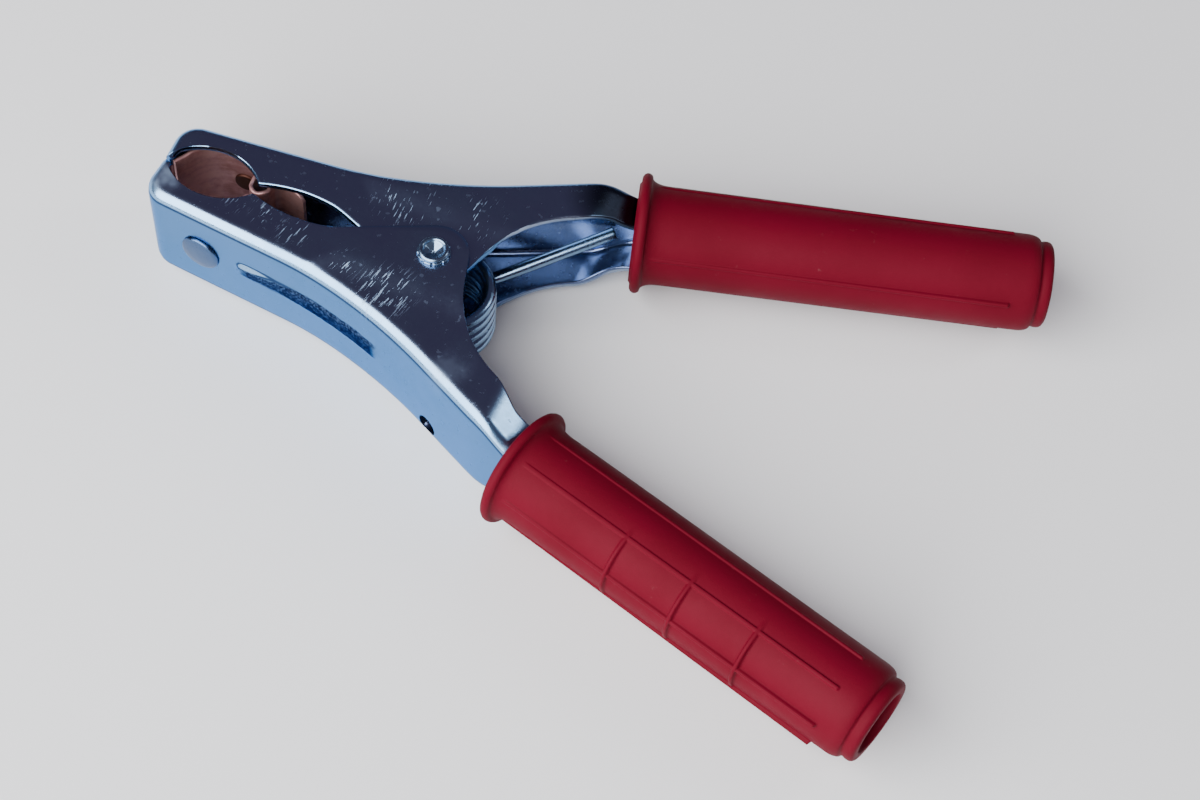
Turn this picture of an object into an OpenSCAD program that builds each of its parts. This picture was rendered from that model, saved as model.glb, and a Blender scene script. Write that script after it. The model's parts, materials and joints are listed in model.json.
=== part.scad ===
// Ground clamp: two pressed channel arms that pivot on one rivet, sprung shut,
// with copper contact strips in the jaws and moulded sleeves on the handles.
// It lies on its side: +X runs from the jaws to the handles, +Z along the pivot.
// The lower arm is on the -Y side and the upper arm on the +Y side.
// Every outline is drawn once as half of the clamp, (x, v), with v the distance
// from the closing plane, and mirrored for the other arm.

/* [Arms] */
// Thickness of the pressed sheet
sheet = 2; // [1.5:0.1:2.4]
// Half of the arms' overall width at the jaws and the handles
half_w = 18.2; // [17.5:0.1:19]
// How far each arm steps out or in, so that one nests in the other at the pivot
joggle = 1.15; // [1.15:0.05:1.3]
// Half of the arms' width where they enter the sleeves
tang_half_w = 11.4; // [10.5:0.1:11.5]
// Length of the straight tang inside a sleeve
tang_l = 84; // [60:1:95]
// Diameter of the hole in the lower arm's back
lug_d = 7; // [5:0.5:7]

/* [Pivot] */
// Diameter of the pivot rivet's shank
pivot_d = 7.8; // [7:0.2:8.4]
// Radial running clearance round the shank
pivot_gap = 0.05; // [0.02:0.01:0.1]
// Diameter of the rivet's factory head
pivot_head_d = 12; // [11:0.5:14]
// Diameter of the notched washer
washer_d = 10; // [9.6:0.2:11]
// Thickness of the notched washer
washer_t = 0.9; // [0.8:0.1:1.2]

/* [Spring] */
// Diameter of the spring wire
wire_d = 4; // [3.4:0.1:4.1]
// Mean radius of the coil
coil_r = 12.3; // [12.2:0.1:13]
// Rise of the coil in one turn
coil_pitch = 4.15; // [4.1:0.05:4.3]

/* [Contacts] */
// Thickness of the copper strip
strip_t = 1.2; // [1:0.1:1.3]
// Half of the strip's width
strip_half_w = 15; // [13:0.5:15.5]
// Diameter of the contact rivet's outer head
stud_head_d = 12.8; // [9:0.2:14]
// Diameter of the contact rivet's shank
stud_d = 5; // [4:0.5:6]

/* [Sleeves] */
// Outside diameter of a sleeve
grip_d = 30.3; // [29.8:0.1:31]
// Length from the middle of the flange to the open end
grip_l = 124.2; // [118:0.1:126]
// Diameter of the hand flange
flange_d = 36.8; // [35:0.2:38]
// Thickness of the hand flange
flange_t = 3.2; // [2.6:0.2:4]
// Diameter inside a sleeve
bore_d = 26.5; // [26.5:0.1:27]
// Diameter of the cable entry at the open end
entry_d = 19.4; // [16:0.2:20]
// Angle between a handle and the clamp's long axis
handle_a = 15.74; // [15.6:0.02:15.9]

/* [Hidden] */
$fn = 48;

LOWER = -1;
UPPER = 1;
FAR = 200;
eps = 0.01;
arc_step = 7;

// Middle of the flange on the handle's axis
flange_at = [48.46, 45.35];
// The sleeve tapers a little to its shoulder, and a smaller lip stands beyond it
lip_l = 3.4;
shoulder_l = grip_l - lip_l;
end_wall = 3;
bore_cone = 3.3;
grip_end_r = 14.75;
lip_r = 13.15;
lip_groove = 0.25;
lip_chamfer = 0.9;

// Half width of the channel where the arms overlap at the pivot
pivot_half_w = half_w + joggle;
// The rivet's rolled rim stands this far above the washer
rim_h = 1.2;
rim_r = 4.6;
head_h = 1.8;

nose_x = -88.3;
// Slope of the arm's back along the jaw
jaw_a = 5.6;
stud_x = -69;
stud_head_h = 1.6;
stud_l = sheet + strip_t + 0.4;
stud_tail_d = 7.2;
stud_tail_h = 0.9;
// Where the hole's axis meets the lower arm's back, and the slope of the back there
lug_at = [14.4, 36.8, -12.6];
lug_a = 26.8;
hole_clear = 0.1;

sleeve_end = [flange_at[0] + grip_l * cos(handle_a), flange_at[1] + grip_l * sin(handle_a)];

// A drawn outline: each move is [length, 0] for a straight run, or [turn, radius]
// for an arc, where a positive turn goes left. gap moves the whole line leftwards.
function walk(at, heading, moves, gap = 0, i = 0) =
    i == len(moves) ? [at] :
    let (m = moves[i])
    m[1] == 0 ?
        concat([at], walk(at + m[0] * [cos(heading), sin(heading)], heading, moves, gap, i + 1)) :
    let (
        side = sign(m[0]),
        r = m[1] - side * gap,
        centre = at + side * r * [-sin(heading), cos(heading)],
        steps = ceil(abs(m[0]) / arc_step)
    )
    concat(
        [for (k = [0 : steps - 1]) arc_point(centre, side * r, heading + m[0] * k / steps)],
        walk(arc_point(centre, side * r, heading + m[0]), heading + m[0], moves, gap, i + 1)
    );
function arc_point(centre, r, a) = centre + r * [sin(a), -cos(a)];
function outline(start, heading, moves, gap = 0) =
    walk(start + gap * [-sin(heading), cos(heading)], heading, moves, gap);
function reversed(list) = [for (i = [len(list) - 1 : -1 : 0]) list[i]];
function unit(p) = p / norm(p);

// Back of an arm, from the nose, along the jaw and out to the end of the tang
back_start = [nose_x, 0.9];
back_heading = 93;
back_moves = [
    [6.38, 0],
    [jaw_a - back_heading, 7.5],
    [40.64, 0],
    [8.4, 118],
    [12.8, 173],
    [19.5, 0],
    [handle_a - jaw_a - 21.2, 71],
    [tang_l, 0]
];

// Free edge of a cheek: the jaw's two hollows, the lobe round the pivot, the throat
edge_start = [-87.2, 0.7];
edge_heading = 51.4;
edge_moves = [
    [1.28, 0],
    [-101.2, 18.5],
    [69.6, 0.4],
    [-45.4, 43.8],
    [22, 0],
    [99.8, 9.8],
    [8.9, 0],
    [-47.4, 39.7],
    [1, 0],
    [11, 20],
    [5, 0],
    [handle_a - 37.8, 8],
    [tang_l + 1.8, 0]
];

// Where the clamp's own origin, the middle of its underside, is from the pivot
low_x = min([for (p = outline(back_start, back_heading, back_moves)) p[0]]);
high_x = sleeve_end[0] + (lip_r - lip_chamfer) * sin(handle_a);
under = pivot_half_w + head_h;
origin = [(low_x + high_x) / 2, 0, -under];

// Contact face of the copper strip: nose, deep hollow, tooth and tail
strip_start = [-84.9, 0.6];
strip_heading = 62;
strip_moves = [
    [6.27, 0],
    [jaw_a - strip_heading, 12],
    [7.2, 0],
    [-88 - jaw_a, 3.2],
    [6.6, 0],
    [176, 3.4],
    [1.2, 0],
    [-100, 2],
    [7.5, 0]
];

// Half widths of a channel along x, with how far it moves out or in at the pivot
function widths(step, inset) = [
    [-100, half_w - inset], [-33, half_w - inset],
    [-26, half_w + step - inset], [13, half_w + step - inset],
    [20, half_w - inset], [36, half_w - inset],
    [46.5, tang_half_w - inset], [FAR, tang_half_w - inset]
];
// The step fades out before it reaches the arm's back
step_full_v = 11;
step_none_v = 18;
function step_widths(step, inset) = [
    [-FAR, half_w + step - inset], [step_full_v, half_w + step - inset],
    [step_none_v, half_w - inset], [FAR, half_w - inset]
];

// Fills the space between two walls, mirror images, at the half widths given along x
module between_walls(profile) {
    rotate([90, 0, 0])
        linear_extrude(height = 2 * FAR, center = true)
            polygon(concat(profile, [for (p = reversed(profile)) [p[0], -p[1]]]));
}

// The room between a channel's cheeks: outwards for a positive step, else inwards
module cheek_room(step, inset) {
    if (step > 0) {
        between_walls(widths(0, inset));
        intersection() {
            between_walls(widths(step, inset));
            rotate([0, 0, 90]) between_walls(step_widths(step, inset));
        }
    } else {
        intersection() {
            between_walls(widths(0, inset));
            union() {
                between_walls(widths(step, inset));
                rotate([0, 0, 90]) between_walls(step_widths(step, inset));
            }
        }
    }
}

module slab(points) {
    linear_extrude(height = 2 * (half_w + 2 * joggle), center = true) polygon(points);
}

// Draws its children for one arm: the upper one as drawn, the lower one mirrored
module for_arm(side) {
    translate(-origin)
        if (side == UPPER) children();
        else mirror([0, 1, 0]) children();
}

// Places its children on the back of the jaw at x, with +Z pointing outwards
module on_jaw_back(x) {
    nose = outline(back_start, back_heading, [back_moves[0], back_moves[1]]);
    corner = nose[len(nose) - 1];
    translate([x, corner[1] + (x - corner[0]) * tan(jaw_a), 0])
        rotate([0, 0, jaw_a])
            rotate([-90, 0, 0]) children();
}

// The channel: a solid of the arm's outline with the inside taken out
module channel(step) {
    back = outline(back_start, back_heading, back_moves);
    inner = outline(back_start, back_heading, back_moves, -sheet);
    edge = outline(edge_start, edge_heading, edge_moves);
    last = inner[len(inner) - 1];
    beyond = 5 * [cos(handle_a), sin(handle_a)];
    difference() {
        intersection() {
            slab(concat(back, reversed(edge)));
            cheek_room(step, 0);
        }
        intersection() {
            slab(concat(inner, [last + beyond, [FAR, -FAR], [inner[0][0], -FAR]]));
            cheek_room(step, sheet);
        }
        cylinder(d = pivot_d + 2 * pivot_gap, h = FAR, center = true);
        on_jaw_back(stud_x) stud_hole();
    }
}

module stud_hole() {
    cylinder(d = stud_d + hole_clear, h = 5 * sheet, center = true);
}

module lower_arm() {
    color("lightsteelblue") difference() {
        for_arm(LOWER) channel(joggle);
        for_arm(LOWER) translate(lug_at) rotate([0, 0, lug_a])
            rotate([90, 0, 0]) cylinder(d = lug_d, h = 5 * sheet, center = true);
    }
}

module upper_arm() {
    color("slategray") for_arm(UPPER) channel(-joggle);
}

module contact_strip() {
    face = outline(strip_start, strip_heading, strip_moves);
    behind = outline(strip_start, strip_heading, strip_moves, strip_t);
    difference() {
        linear_extrude(height = 2 * strip_half_w, center = true)
            polygon(concat(face, reversed(behind)));
        on_jaw_back(stud_x) stud_hole();
    }
}

module lower_contact() {
    color("sienna") for_arm(LOWER) contact_strip();
}

module upper_contact() {
    color("sienna") for_arm(UPPER) contact_strip();
}

// A flat-domed head outside, a shank, and a flattened tail on the copper
module contact_rivet() {
    head_r = stud_head_d / 2;
    on_jaw_back(stud_x) rotate_extrude() polygon([
        [0, stud_head_h], [head_r * 0.55, stud_head_h * 0.92], [head_r * 0.88, stud_head_h * 0.55],
        [head_r, eps], [stud_d / 2, eps],
        [stud_d / 2, -stud_l], [stud_tail_d / 2, -stud_l],
        [stud_tail_d / 2 - 0.4, -stud_l - stud_tail_h], [0, -stud_l - stud_tail_h]
    ]);
}

module lower_contact_rivet() {
    color("lightgray") for_arm(LOWER) contact_rivet();
}

module upper_contact_rivet() {
    color("lightgray") for_arm(UPPER) contact_rivet();
}

// Factory head underneath, shank, and a rolled rim with a coned recess on top
module pivot_rivet() {
    top = pivot_half_w + washer_t;
    head_r = pivot_head_d / 2;
    color("silver") translate(-origin) rotate_extrude() polygon([
        [0, -under], [head_r * 0.5, -under], [head_r * 0.9, -under + head_h * 0.45],
        [head_r, -pivot_half_w - eps], [pivot_d / 2, -pivot_half_w - eps],
        [pivot_d / 2, top + eps], [rim_r, top + eps], [rim_r, top + rim_h * 0.55],
        [rim_r - 0.35, top + rim_h * 0.9], [rim_r - 0.8, top + rim_h],
        [rim_r - 1.3, top + rim_h * 0.85], [rim_r - 1.7, top + rim_h * 0.3], [0, top - 1.4]
    ]);
}

module pivot_washer() {
    notches = 10;
    notch_deep = 0.35;
    notch_w = 0.8;
    color("gainsboro") translate(-origin) translate([0, 0, pivot_half_w]) difference() {
        cylinder(d = washer_d, h = washer_t);
        translate([0, 0, -1]) cylinder(d = pivot_d + 0.04, h = washer_t + 2);
        for (k = [0 : notches - 1]) rotate([0, 0, k * 360 / notches])
            translate([washer_d / 2 - notch_deep, -notch_w / 2, -1])
                cube([1, notch_w, washer_t + 2]);
    }
}

// The coil sits against the back of the rivet. Each end leaves it on a tangent, on
// the jaw side, stays level to clear the next turn, then bends to the handle's back.
coil_at = [5.7, -2.3];
coil_low = -12.6;
full_turns = 5;
level_run = 16;
upper_leg_end = [40.6, 44.2, -3];
lower_leg_end = [40.6, -44.2, 0];
wire_sides = 8;
ring_a = 18;

function leave_angle(to, side) =
    let (d = [to[0], to[1]] - coil_at)
    atan2(d[1], d[0]) + side * acos(coil_r / norm(d));
function on_coil(a, z) = [coil_at[0] + coil_r * cos(a), coil_at[1] + coil_r * sin(a), z];
function level_point(a, side, z) = on_coil(a, z) + side * level_run * [sin(a), -cos(a), 0];

low_a = leave_angle(upper_leg_end, 1);
high_a = leave_angle(lower_leg_end, -1) + 360 * (full_turns + 1);
coil_high = coil_low + (high_a - low_a) / 360 * coil_pitch;
coil_rings = ceil((high_a - low_a) / ring_a);
coil = [for (k = [0 : coil_rings])
    let (part = k / coil_rings)
    on_coil(low_a + (high_a - low_a) * part, coil_low + (coil_high - coil_low) * part)];
spring_path = concat(
    [upper_leg_end, level_point(low_a, 1, coil_low)],
    coil,
    [level_point(high_a, -1, coil_high), lower_leg_end]
);

// A round wire swept along a path that never runs straight up
module wire(path, r) {
    n = len(path);
    rings = [for (i = [0 : n - 1])
        let (
            ahead = unit(path[min(i + 1, n - 1)] - path[i == n - 1 ? i - 1 : i]),
            before = unit(path[i == 0 ? 1 : i] - path[max(i - 1, 0)]),
            along = unit(ahead + before),
            across = unit(cross(along, [0, 0, 1])),
            up = cross(across, along)
        )
        for (k = [0 : wire_sides - 1])
            path[i] + r * (cos(k * 360 / wire_sides) * across + sin(k * 360 / wire_sides) * up)];
    sides = [for (i = [0 : n - 2], k = [0 : wire_sides - 1])
        let (a = i * wire_sides, b = (k + 1) % wire_sides)
        [a + k, a + b, a + wire_sides + b, a + wire_sides + k]];
    start_cap = [for (k = [wire_sides - 1 : -1 : 0]) k];
    end_cap = [for (k = [0 : wire_sides - 1]) (n - 1) * wire_sides + k];
    polyhedron(rings, concat(sides, [start_cap, end_cap]));
}

module torsion_spring() {
    color("lightblue") translate(-origin) wire(spring_path, wire_d / 2);
}

// Places its children with +Z along a sleeve, and +X away from the closing plane
module on_handle(side) {
    for_arm(side)
        translate([flange_at[0], flange_at[1], 0])
            rotate([0, 0, handle_a])
                rotate([90, 0, 90]) children();
}

// Ribs along the sleeve: the angle of each, and how far its top stands outside the
// sleeve's first radius beside the flange and at the far end, where the sleeve is slimmer
long_ribs = [
    [-116, 0.3, 0.2], [-69, 0.25, 0.2], [-21, 0.3, 1],
    [21, 0.3, 1], [69, 0.3, 0.2], [171, 0.4, 0.8]
];
long_rib_l = 112;
rib_w = 1.4;
rib_root = 1.2;
// Short ribs across one side: crescents left by discs set off the sleeve's axis
ring_ribs = [40.5, 62.6, 85.2];
ring_mid = -24.5;
ring_rib_h = 1.1;
ring_off = 2.6;

module grip_body(hand, twist) {
    r = grip_d / 2;
    fr = flange_d / 2;
    ft = flange_t / 2;
    rotate_extrude() polygon([
        [bore_d / 2, -ft - 0.6], [r, -ft - 0.6], [r + 0.5, -ft], [fr - 0.9, -ft],
        [fr - 0.2, -ft * 0.5], [fr, 0], [fr - 0.2, ft * 0.5], [fr - 0.9, ft],
        [r + 1.2, ft + 0.4], [r + 0.3, ft + 1.6], [r, ft + 3.2],
        [grip_end_r, shoulder_l - 4], [grip_end_r - 0.4, shoulder_l - 2],
        [lip_r + 0.3, shoulder_l - 0.4], [lip_r - lip_groove, shoulder_l], [lip_r, shoulder_l + 0.8],
        [lip_r, grip_l - lip_chamfer], [lip_r - lip_chamfer, grip_l], [entry_d / 2, grip_l],
        [entry_d / 2, grip_l - end_wall], [bore_d / 2, grip_l - end_wall - bore_cone]
    ]);
    for (rib = long_ribs) rotate([0, 0, twist + hand * rib[0]])
        rotate([90, 0, 0]) linear_extrude(height = rib_w, center = true) polygon([
            [r - rib_root, ft], [r + rib[1], ft],
            [r + rib[2], long_rib_l], [r - rib_root, long_rib_l]
        ]);
    for (s = ring_ribs) rotate([0, 0, twist + hand * ring_mid])
        translate([0, 0, s - rib_w / 2]) difference() {
            translate([ring_off, 0, 0]) cylinder(r = r + ring_rib_h - ring_off, h = rib_w);
            translate([0, 0, -1]) cylinder(r = r - rib_root, h = rib_w + 2);
        }
}

// Both sleeves are one moulding, pushed on by hand, so each has its own twist; the
// lower arm is drawn mirrored, so its sleeve's ribs are laid out the other way round
lower_twist = 0;
upper_twist = -15.5;

module lower_grip() {
    color("crimson") on_handle(LOWER) grip_body(LOWER, lower_twist);
}

module upper_grip() {
    color("crimson") on_handle(UPPER) grip_body(UPPER, upper_twist);
}

lower_arm();
upper_arm();
pivot_rivet();
pivot_washer();
torsion_spring();
lower_contact();
upper_contact();
lower_contact_rivet();
upper_contact_rivet();
lower_grip();
upper_grip();
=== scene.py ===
import json
import math
import bpy
import bmesh
import numpy as np
from mathutils import Matrix, Vector


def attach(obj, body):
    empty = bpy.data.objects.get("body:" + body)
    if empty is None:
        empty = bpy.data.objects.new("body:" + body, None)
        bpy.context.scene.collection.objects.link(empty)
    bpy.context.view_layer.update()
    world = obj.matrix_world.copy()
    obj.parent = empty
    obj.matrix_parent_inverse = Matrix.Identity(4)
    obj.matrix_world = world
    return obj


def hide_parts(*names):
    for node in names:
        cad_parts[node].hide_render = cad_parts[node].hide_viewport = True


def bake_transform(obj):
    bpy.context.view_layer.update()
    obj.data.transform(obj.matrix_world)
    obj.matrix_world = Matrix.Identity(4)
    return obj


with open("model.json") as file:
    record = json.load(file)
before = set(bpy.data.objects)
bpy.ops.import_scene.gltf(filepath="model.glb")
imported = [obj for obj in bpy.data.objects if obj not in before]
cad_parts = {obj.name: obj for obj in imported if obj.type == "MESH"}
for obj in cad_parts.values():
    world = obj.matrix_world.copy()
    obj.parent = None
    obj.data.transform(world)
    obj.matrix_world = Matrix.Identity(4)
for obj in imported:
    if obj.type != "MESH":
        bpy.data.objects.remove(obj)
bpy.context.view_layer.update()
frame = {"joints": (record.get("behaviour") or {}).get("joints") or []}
LOWER, UPPER = "lower", "upper"
PIVOT = Vector(frame["joints"][0]["pos_m"]) * 1000.0


# ---------------------------------------------------------------- drawing helpers
# Shapes are drawn in millimetres from the pivot, as in the CAD source: (x, v) with v
# the distance from the closing plane. side is -1 for the lower arm, 1 for the upper.

def to_frame(points):
    """Millimetres from the pivot to the frame's metres."""
    return (np.asarray(points, float) + np.array(PIVOT)) * 0.001


def walk(at, heading, moves, gap, arc_step, run_step):
    """Points of a drawn line: [length, 0] runs straight, [turn, radius] bends left if positive.

    gap shifts the line to its left. arc_step (degrees) and run_step (mm) set the spacing.
    """
    h = math.radians(heading)
    at = np.array(at, float) + gap * np.array([-math.sin(h), math.cos(h)])
    out = []
    for size, r in moves:
        h = math.radians(heading)
        if r == 0:
            n = max(1, math.ceil(size / run_step))
            d = np.array([math.cos(h), math.sin(h)])
            out += [at + d * size * k / n for k in range(n)]
            at = at + d * size
        else:
            side = math.copysign(1.0, size)
            rr = r - side * gap
            c = at + side * rr * np.array([-math.sin(h), math.cos(h)])
            n = max(1, math.ceil(abs(size) / arc_step), math.ceil(abs(math.radians(size)) * r / run_step))
            for k in range(n + 1):
                a = math.radians(heading + size * k / n)
                at = c + side * rr * np.array([math.sin(a), -math.cos(a)])
                if k < n:
                    out.append(at)
            heading += size
    out.append(at)
    return np.array(out)


def lengths(p):
    """The length along a line at each of its points."""
    return np.concatenate([[0], np.cumsum(np.linalg.norm(np.diff(p, axis=0), axis=1))])


def at_length(p, s):
    """The points of a line at the given lengths along it."""
    t = lengths(p)
    return np.stack([np.interp(s, t, p[:, k]) for k in range(p.shape[1])], 1)


def smooth01(t):
    """A smooth step from 0 to 1 as t goes from 0 to 1."""
    t = np.clip(t, 0, 1)
    return t * t * (3 - 2 * t)


def mend_normals(me):
    bm = bmesh.new()
    bm.from_mesh(me)
    bmesh.ops.recalc_face_normals(bm, faces=bm.faces)
    bm.to_mesh(me)
    bm.free()


def mesh_object(name, verts, faces, material, body):
    """A smooth-shaded piece. With no body yet, it is put on one after it has been cut."""
    me = bpy.data.meshes.new(name)
    me.from_pydata([tuple(v) for v in verts], [], [tuple(f) for f in faces])
    me.validate()
    mend_normals(me)
    for p in me.polygons:
        p.use_smooth = True
    o = bpy.data.objects.new(name, me)
    bpy.context.scene.collection.objects.link(o)
    o.data.materials.append(material)
    if body:
        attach(o, body)
    return o


def grid_faces(n, m, base=0, wrap_n=False, wrap_m=False):
    """Quads over n rows of m points, whose first point is number base."""
    faces = []
    for i in range(n if wrap_n else n - 1):
        for j in range(m if wrap_m else m - 1):
            a, b = i, (i + 1) % n
            c, d = j, (j + 1) % m
            faces.append((base + a * m + c, base + b * m + c, base + b * m + d, base + a * m + d))
    return faces


def rim_loop(n, m):
    """The (row, column) pairs round the border of a grid of n rows of m points."""
    loop = [(i, 0) for i in range(n)] + [(n - 1, j) for j in range(1, m)]
    return loop + [(i, m - 1) for i in range(n - 2, -1, -1)] + [(0, j) for j in range(m - 2, 0, -1)]


def two_skins(front, back, rims, loop):
    """A closed sheet: two grids of points, joined round their border by two rims of points."""
    n, m, _ = front.shape
    v = np.concatenate([front.reshape(-1, 3), back.reshape(-1, 3), np.array(rims[0]), np.array(rims[1])])
    faces = grid_faces(n, m) + [f[::-1] for f in grid_faces(n, m, base=n * m)]
    border = [i * m + j for i, j in loop]
    k = len(loop)
    r0, r1 = 2 * n * m, 2 * n * m + k
    for a in range(k):
        c = (a + 1) % k
        faces.append((border[a], border[c], r0 + c, r0 + a))
        faces.append((r0 + a, r0 + c, r1 + c, r1 + a))
        faces.append((r1 + a, r1 + c, n * m + border[c], n * m + border[a]))
    return v, faces


def sweep(path, radius):
    """A round wire along a path, with one radius or a radius for each point: vertices and faces."""
    sides = 18
    p = np.asarray(path, float)
    n = len(p)
    t = np.gradient(p, axis=0)
    t /= np.linalg.norm(t, axis=1)[:, None]
    u = np.cross(t, np.array([0, 0, 1.0]))
    u /= np.linalg.norm(u, axis=1)[:, None]
    w = np.cross(u, t)
    r = (np.zeros(n) + radius)[:, None, None]
    a = (np.arange(sides) * 2 * math.pi / sides)[None, :, None]
    v = p[:, None] + r * (np.cos(a) * u[:, None] + np.sin(a) * w[:, None])
    faces = grid_faces(n, sides, wrap_m=True)
    faces += [tuple(range(sides)), tuple((n - 1) * sides + k for k in range(sides))]
    return v.reshape(-1, 3), faces


def lathe(profile, sides):
    """A solid of revolution round +Z from (radius, height) points that start and end on the axis."""
    prof = np.asarray(profile, float)
    rings = prof[1:-1]
    a = np.arange(sides) * 2 * math.pi / sides
    v = [(0, 0, prof[0][1])]
    for r, z in rings:
        v += [(r * math.cos(t), r * math.sin(t), z) for t in a]
    v.append((0, 0, prof[-1][1]))
    last = 1 + (len(rings) - 1) * sides
    faces = [(0, 1 + k, 1 + (k + 1) % sides) for k in range(sides)]
    faces += grid_faces(len(rings), sides, base=1, wrap_m=True)
    faces += [(len(v) - 1, last + (k + 1) % sides, last + k) for k in range(sides)]
    return np.array(v), faces


def rounded(points, radius, steps):
    """A line with each of its inner corners turned into a smooth bend of so many points."""
    p = [np.array(q, float) for q in points]
    out = [p[0]]
    for a, b, c in zip(p, p[1:], p[2:]):
        l1, l2 = np.linalg.norm(a - b), np.linalg.norm(c - b)
        k = min(radius, l1 * 0.45, l2 * 0.45)
        s, e = b + (a - b) / l1 * k, b + (c - b) / l2 * k
        out += [(1 - t) ** 2 * s + 2 * t * (1 - t) * b + t * t * e for t in np.linspace(0, 1, steps)]
    out.append(p[-1])
    return np.array(out)


# ---------------------------------------------------------------- materials
def new_material(name):
    """An empty material and its principled shader."""
    m = bpy.data.materials.new(name)
    m.use_nodes = True
    t = m.node_tree
    t.nodes.clear()
    out = t.nodes.new("ShaderNodeOutputMaterial")
    b = t.nodes.new("ShaderNodeBsdfPrincipled")
    t.links.new(b.outputs["BSDF"], out.inputs["Surface"])
    return m, b


class Graph:
    """Short names for the shader nodes used below. Values are numbers, colours or sockets."""

    def __init__(self, material):
        self.t = material.node_tree
        where = self.t.nodes.new("ShaderNodeTexCoord")
        self.co = where.outputs["Object"]
        self.normal = where.outputs["Normal"]

    def link(self, a, b):
        self.t.links.new(a, b)

    def put(self, socket, value):
        if hasattr(value, "is_linked"):
            self.link(value, socket)
        else:
            socket.default_value = value

    def mapping(self, scale=(1, 1, 1), rot=(0, 0, 0), loc=(0, 0, 0), vec=None):
        n = self.t.nodes.new("ShaderNodeMapping")
        self.link(vec if vec is not None else self.co, n.inputs["Vector"])
        n.inputs["Scale"].default_value = scale
        n.inputs["Rotation"].default_value = rot
        n.inputs["Location"].default_value = loc
        return n.outputs["Vector"]

    def noise(self, scale, detail, rough, vec=None):
        n = self.t.nodes.new("ShaderNodeTexNoise")
        self.link(vec if vec is not None else self.co, n.inputs["Vector"])
        n.inputs["Scale"].default_value = scale
        n.inputs["Detail"].default_value = detail
        n.inputs["Roughness"].default_value = rough
        return n.outputs["Fac"]

    def math(self, op, a, b=0.0):
        n = self.t.nodes.new("ShaderNodeMath")
        n.operation = op
        self.put(n.inputs[0], a)
        self.put(n.inputs[1], b)
        return n.outputs[0]

    def times(self, a, b):
        return self.math("MULTIPLY", a, b)

    def add(self, a, mask, amount):
        """a plus a share of a mask."""
        return self.math("ADD", a, self.times(mask, amount))

    def vector(self, op, a, b=(0, 0, 0)):
        """An operation on vectors: the vector that it gives, or the number."""
        n = self.t.nodes.new("ShaderNodeVectorMath")
        n.operation = op
        self.link(a, n.inputs[0])
        n.inputs[1].default_value = b
        return n.outputs["Value" if op in ("LENGTH", "DOT_PRODUCT") else "Vector"]

    def split(self, vec):
        n = self.t.nodes.new("ShaderNodeSeparateXYZ")
        self.link(vec, n.inputs[0])
        return n.outputs

    def ramp(self, fac, lo, hi, a=0.0, b=1.0):
        """A smooth step from a, where fac is lo, to b, where it is hi."""
        n = self.t.nodes.new("ShaderNodeMapRange")
        n.interpolation_type = "SMOOTHSTEP"
        self.link(fac, n.inputs["Value"])
        n.inputs["From Min"].default_value = lo
        n.inputs["From Max"].default_value = hi
        n.inputs["To Min"].default_value = a
        n.inputs["To Max"].default_value = b
        return n.outputs["Result"]

    def mix(self, fac, a, b):
        n = self.t.nodes.new("ShaderNodeMix")
        n.data_type = "RGBA"
        self.put(n.inputs[0], fac)
        self.put(n.inputs[6], a)
        self.put(n.inputs[7], b)
        return n.outputs[2]

    def bump(self, height, strength, distance, normal=None):
        n = self.t.nodes.new("ShaderNodeBump")
        self.link(height, n.inputs["Height"])
        n.inputs["Strength"].default_value = strength
        n.inputs["Distance"].default_value = distance
        if normal is not None:
            self.link(normal, n.inputs["Normal"])
        return n.outputs["Normal"]

    def spot(self, centre, radius, stretch=(1, 1, 1)):
        """1 at a place given in millimetres from the pivot, fading to 0 at radius (metres)."""
        away = self.vector("SUBTRACT", self.co, pivot_point(centre))
        away = self.vector("MULTIPLY", away, stretch)
        return self.ramp(self.vector("LENGTH", away), radius, radius * 0.35)


def pivot_point(at):
    """Millimetres from the pivot to the frame's metres, as plain numbers."""
    return tuple(float(c) for c in to_frame(at))


# Colours are linear red, green and blue. The pressed arms have one for the web (the back),
# one for the bend beside it and one for the flat cheeks: painted light and shade that follow the way each
# face turns, with a painted highlight on the bend.
PRESSED_LIGHT = ((0.120, 0.250, 0.475), (0.27, 0.47, 0.72), (0.31, 0.40, 0.58))
PRESSED_DARK = ((0.100, 0.230, 0.44), (0.22, 0.41, 0.66), (0.25, 0.34, 0.50))
PRESSED_TINT = (0.56, 0.72, 0.97, 1)
# painted shade along the crease between the bend and the web
CREASE_PAINTED_SHADE = (0.015, 0.035, 0.10, 1)
# painted light on the channel's inner back and painted shade on its inner cheeks
INSIDE_BACK_PAINTED_LIGHT = (0.34, 0.42, 0.56, 1)
INSIDE_CHEEK_PAINTED_SHADE = (0.14, 0.19, 0.34, 1)
SCRATCHED = (0.55, 0.75, 1.0, 1)
RUBBED = (0.46, 0.62, 0.84, 1)
SHADED = (0.035, 0.045, 0.07, 1)
# the bead's painted dark reflection, its flecks and its darker specular tint
BEAD_DARK_REFLECTION = (0.014, 0.024, 0.060, 1)
BEAD_REFLECTION_FLECK = (0.09, 0.15, 0.28, 1)
BEAD_REFLECTION_TINT = (0.18, 0.22, 0.34, 1)
TAIL_BROWN = (0.10, 0.045, 0.035, 1)
DUST = (0.75, 0.45, 0.45, 1)

# the line along which the bead's dark reflection is painted
BEAD_REFLECTION_MARK = ((-50, 0, 1.3), (-9, 0, 0.5))   # the dark part of the bead, mm from the pivot
TAIL_Y = 0.0140                             # rivet tails lie this near the closing plane (m)
SCRATCH_SCALE = 170                         # strokes to a metre, end to end
SCRATCH_THIN = 13                           # a stroke's length over its width


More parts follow.
